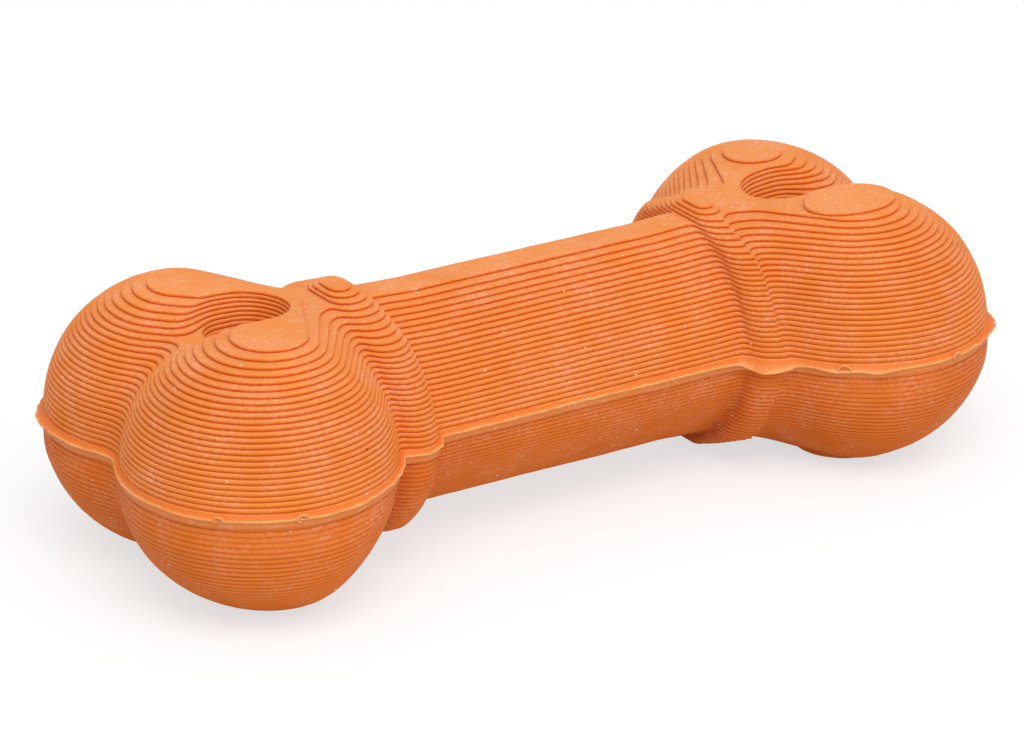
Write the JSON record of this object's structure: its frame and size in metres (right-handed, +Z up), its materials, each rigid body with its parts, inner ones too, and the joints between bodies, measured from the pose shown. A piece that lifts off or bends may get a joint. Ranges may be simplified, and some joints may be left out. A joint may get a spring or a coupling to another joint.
{
  "type": "rubber chew bone",
  "caption": "Solid rubber dog bone with round knobs at both ends, ring collars on the shaft, a pit between the knobs and level terraces all over, for a dog to chew.",
  "frame": {"origin": "centre of the bone's footprint, on the floor that its four lower crowns rest on", "axes": "+X along the shaft, +Y across the two knobs of an end, +Z up from the floor"},
  "size_m": [0.1828, 0.083, 0.05],
  "materials": {
    "body_rubber": "matte",
    "flash_rubber": "satin"
  },
  "bodies": {
    "root": {"upper_half": "body_rubber", "lower_half": "body_rubber", "parting_flash": "flash_rubber"}
  },
  "joints": []
}
